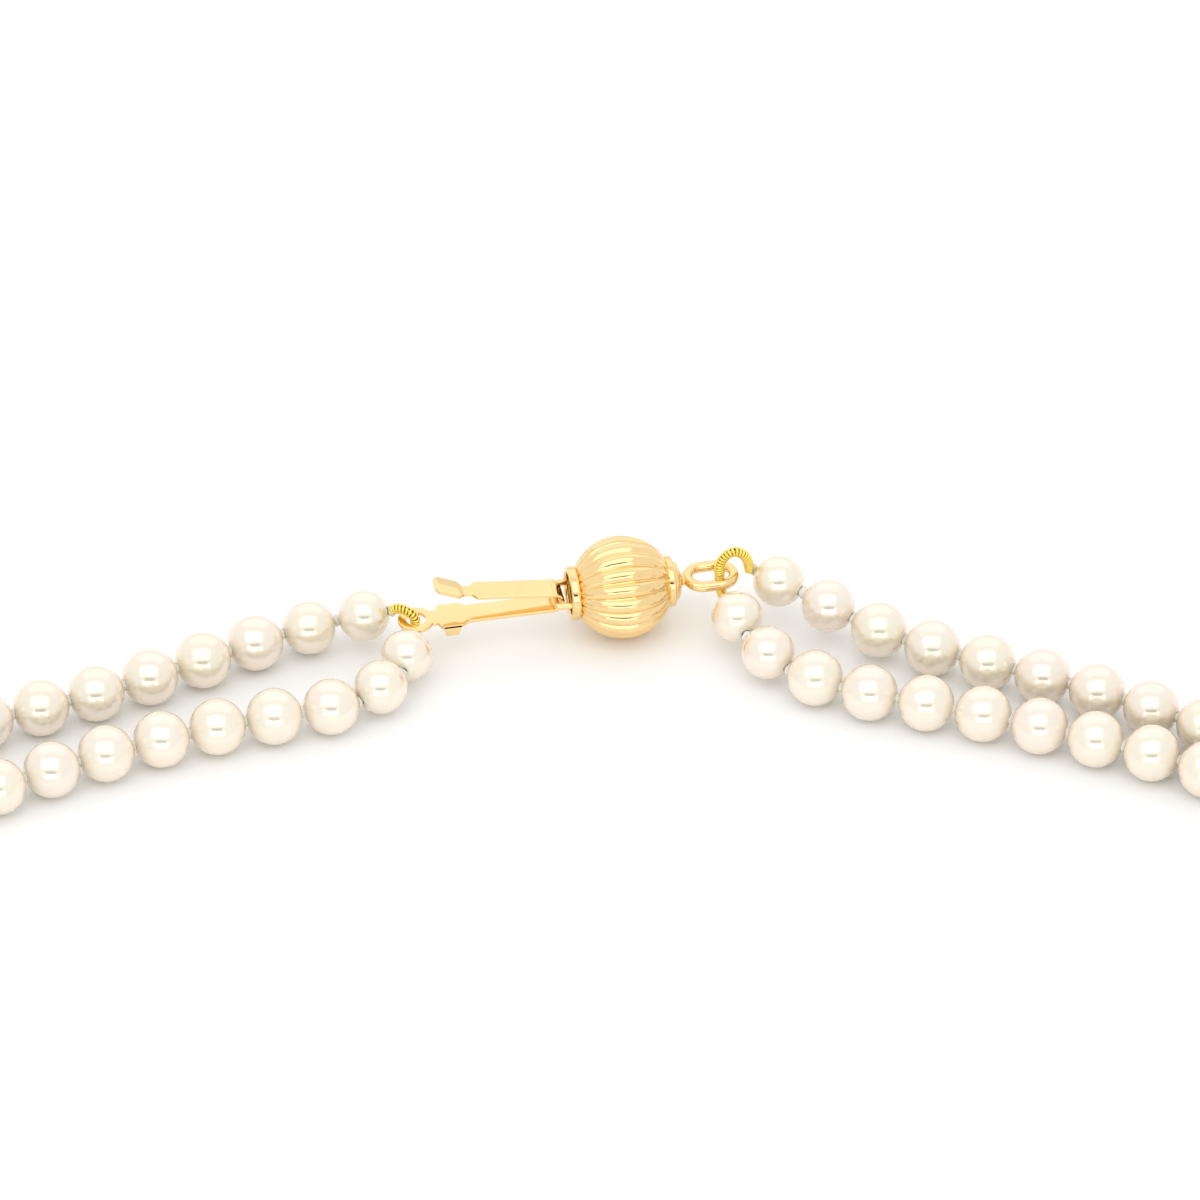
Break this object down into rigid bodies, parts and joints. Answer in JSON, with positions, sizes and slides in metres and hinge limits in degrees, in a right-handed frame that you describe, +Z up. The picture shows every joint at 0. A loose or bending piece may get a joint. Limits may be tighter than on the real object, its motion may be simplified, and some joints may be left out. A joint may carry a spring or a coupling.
{
  "type": "pearl necklace",
  "caption": "Double-strand knotted pearl necklace with a fluted gold ball clasp, lying flat with its folded hook caught on the clasp's bail.",
  "frame": {"origin": "on the table directly under the middle of the clasp's ball", "axes": "+X along the clasp's axis from the hook to the ring, +Z up from the table, -Y towards the front of the necklace"},
  "size_m": [0.1884, 0.1124, 0.01],
  "materials": {
    "pearl": "satin nacre with a soft overtone",
    "silk": "twisted silk",
    "yellow_gold": "polished",
    "gold_gimp": "fine coiled wire"
  },
  "bodies": {
    "left_half": {"outer_pearls_left": "pearl", "inner_pearls_left": "pearl", "end_pearls_left": "pearl", "outer_thread_left": "silk", "inner_thread_left": "silk", "knots_left": "silk", "gimp_left": "gold_gimp", "hook_base": "yellow_gold"},
    "right_half": {"outer_pearls_right": "pearl", "inner_pearls_right": "pearl", "end_pearls_right": "pearl", "outer_thread_right": "silk", "inner_thread_right": "silk", "knots_right": "silk", "gimp_right": "gold_gimp"},
    "leaf": {"spring_leaf": "yellow_gold"},
    "ball": {"ball_mouth_shell": "yellow_gold", "ball_cap_shell": "yellow_gold", "mouth_collar": "yellow_gold", "cap_collar": "yellow_gold", "end_cap": "yellow_gold", "bail_wire": "yellow_gold", "ring": "yellow_gold"}
  },
  "joints": [
    {"name": "front_flex", "type": "hinge", "parent": "left_half", "child": "right_half", "pos_m": [0.0062, -0.1016, 0.00275], "axis": [0, 0, 1], "range_deg": [0, 5.4]},
    {"name": "ball_swivel", "type": "hinge", "parent": "right_half", "child": "ball", "pos_m": [0.01097, 0, 0.005], "axis": [0, 0, 1], "range_deg": [-5.4, 0]},
    {"name": "leaf_press", "type": "hinge", "parent": "left_half", "child": "leaf", "pos_m": [-0.00695, 0, 0.00595], "axis": [0, -1, 0], "range_deg": [0, 5.3]}
  ],
  "couplings": [
    {"joint": "ball_swivel", "follows": "front_flex", "ratio": -1},
    {"joint": "leaf_press", "follows": "front_flex", "ratio": 0.963}
  ]
}
